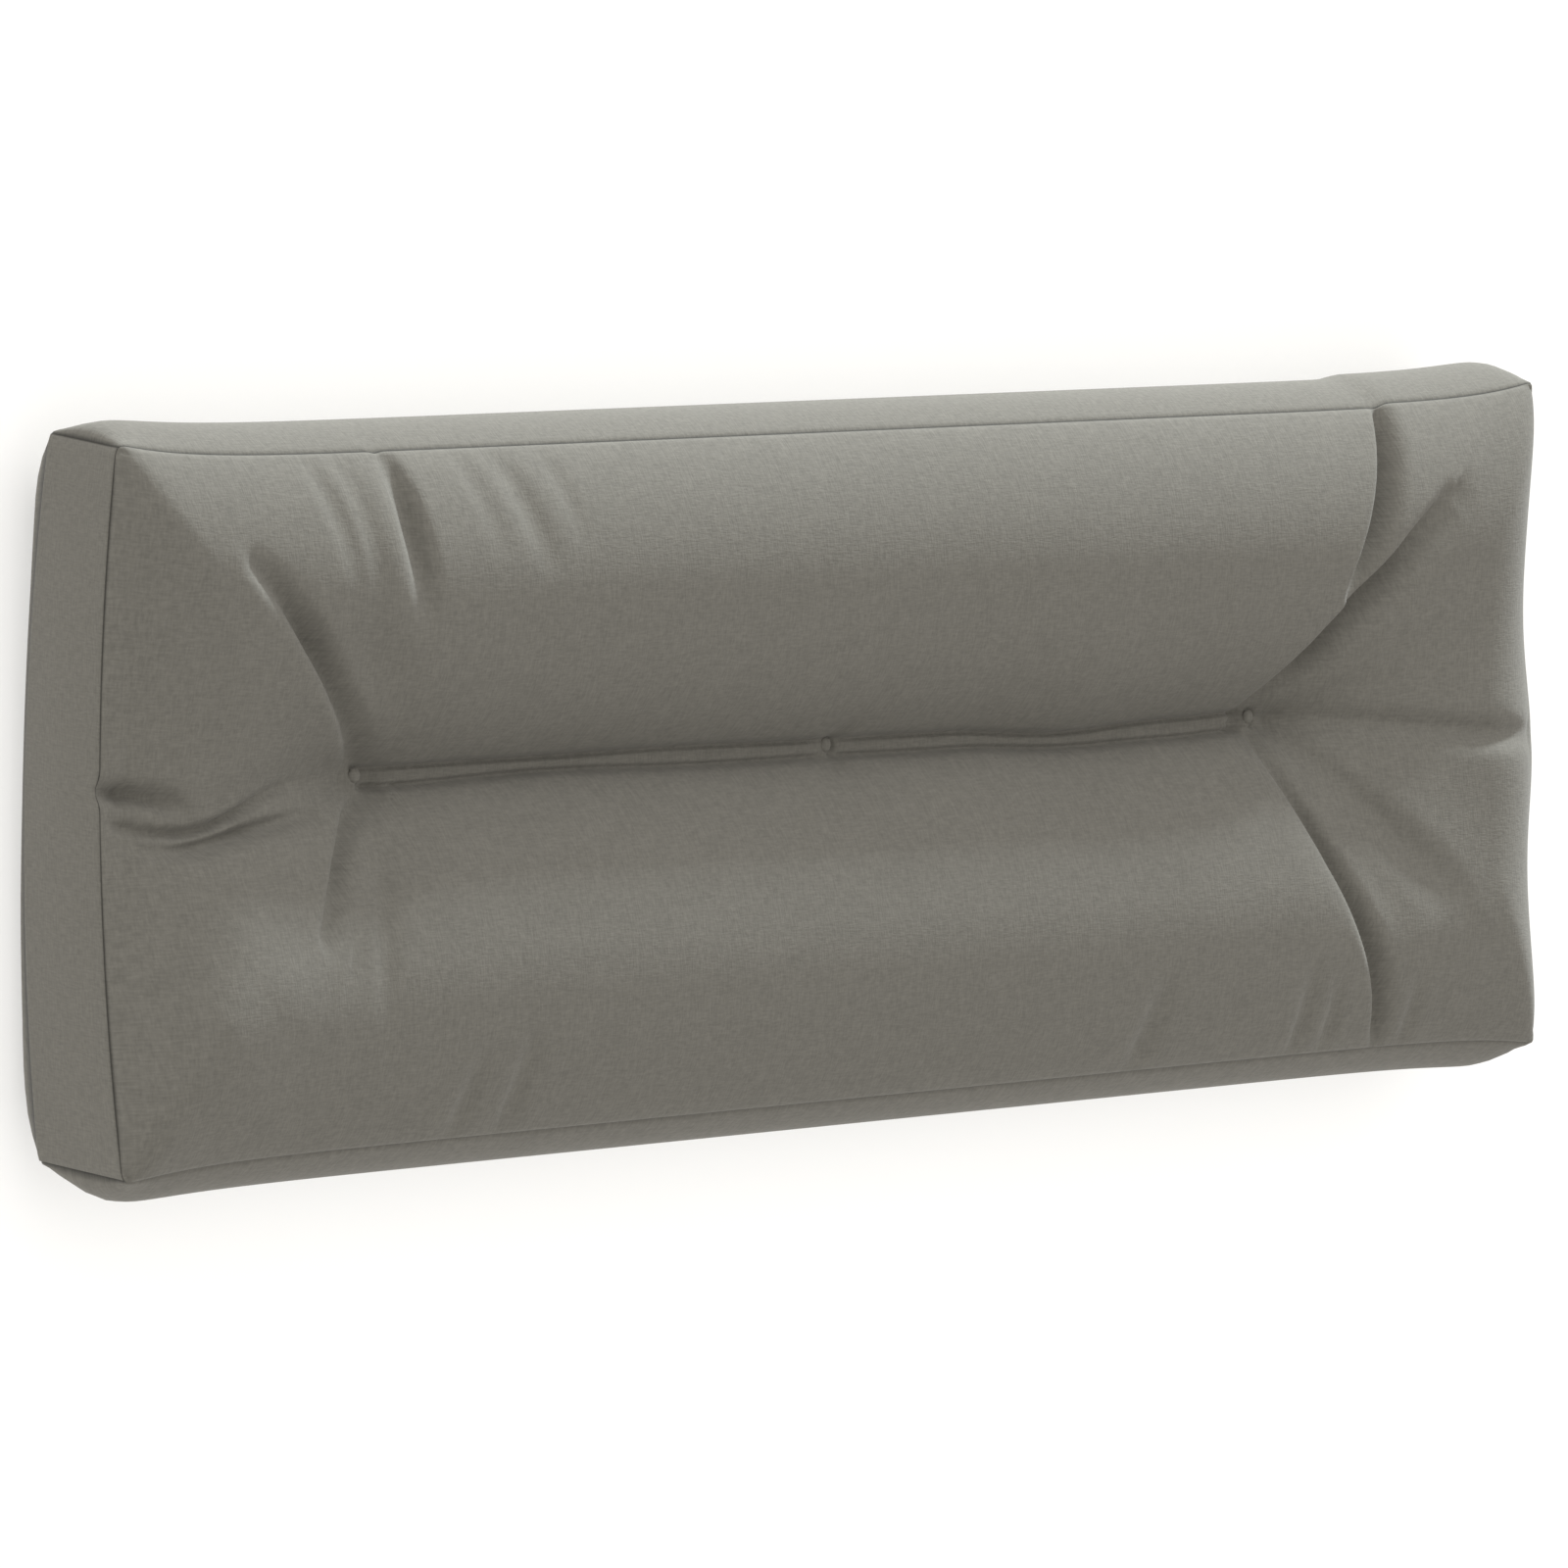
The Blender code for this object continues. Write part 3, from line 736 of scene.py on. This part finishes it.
# %% Floor
FLOOR_HALF = 40
FLOOR_COLOUR = (0.9, 0.9, 0.9, 1)
FLOOR_ROUGHNESS = 0.9
floor_mesh = bpy.data.meshes.new("floor")
sheet = bmesh.new()
bmesh.ops.create_grid(sheet, x_segments=1, y_segments=1, size=FLOOR_HALF)
sheet.to_mesh(floor_mesh)
sheet.free()
floor = bpy.data.objects.new("floor", floor_mesh)
scene.collection.objects.link(floor)
pale = bpy.data.materials.new("pale_floor")
pale.use_nodes = True
finish = pale.node_tree.nodes["Principled BSDF"].inputs
finish["Base Color"].default_value = FLOOR_COLOUR
finish["Roughness"].default_value = FLOOR_ROUGHNESS
floor.data.materials.append(pale)
print("floor:", 2 * FLOOR_HALF, "m wide")

# %% Light
WORLD_COLOUR = (1.0, 0.976, 0.931, 1)
WORLD_STRENGTH = 0.742
KEY_COLOUR = (0.912, 0.978, 1.0)
AIM = Vector((0, 0, 0.09))
world = bpy.data.worlds.new("studio")
scene.world = world
world.use_nodes = True
world.node_tree.nodes["Background"].inputs["Color"].default_value = WORLD_COLOUR
world.node_tree.nodes["Background"].inputs["Strength"].default_value = WORLD_STRENGTH
stage = bpy.data.collections.new("stage")
stage.objects.link(floor)


def soft_light(name, turn, lift, away, size, level, seen_by, colour=(1, 1, 1)):
    """A soft light at a distance, turned from the far side towards the left, that adds this level."""
    turn, lift = math.radians(turn), math.radians(lift)
    place = Vector((-math.sin(turn) * math.cos(lift), math.cos(turn) * math.cos(lift), math.sin(lift)))
    lamp = bpy.data.lights.new(name, "AREA")
    lamp.shape = "RECTANGLE"
    lamp.size, lamp.size_y = size
    lamp.energy = level * (math.pi * away) ** 2
    lamp.color = colour
    made = bpy.data.objects.new(name, lamp)
    made.location = place * away + AIM
    made.rotation_euler = (-place).to_track_quat("-Z", "Y").to_euler()
    scene.collection.objects.link(made)
    made.light_linking.receiver_collection = seen_by
    made.light_linking.blocker_collection = seen_by


soft_light("key", turn=-36, lift=0.6, away=12, size=(2.4, 1.0), level=1.27, seen_by=pieces,
           colour=KEY_COLOUR)
soft_light("top", turn=0, lift=35, away=4, size=(4.0, 2.5), level=0.28, seen_by=pieces)
soft_light("floor_light", turn=0, lift=80, away=8, size=(6.0, 6.0), level=0.645, seen_by=stage)
print("lights:", [each.name for each in bpy.data.lights])

# %% [markdown]
# The camera looks at the front panel from well round to its left, through a long lens from over
# seven metres away, so that the far end is only a little smaller than the near one. It could be
# aimed with a constraint, but three turns and an offset say exactly where it stands.

# %% Camera
TURN, TILT, ROLL = (math.radians(a) for a in (47.5, 4.19, -0.42))
OFFSET = Vector((0.027, 0.014, -7.44))
LENS = 298.3
SENSOR = 36
turned = Matrix.Rotation(ROLL, 3, "Z") @ Matrix.Rotation(TILT, 3, "X") @ Matrix.Rotation(TURN, 3, "Y")
camera = bpy.data.objects.new("camera", bpy.data.cameras.new("camera"))
camera.data.sensor_width = SENSOR
camera.data.lens = LENS
place = Vector(shift) - turned.transposed() @ OFFSET
camera.matrix_world = Matrix.Translation(place) @ turned.transposed().to_4x4()
scene.collection.objects.link(camera)
scene.camera = camera
scene.view_settings.view_transform = "Standard"
print("camera at", place)
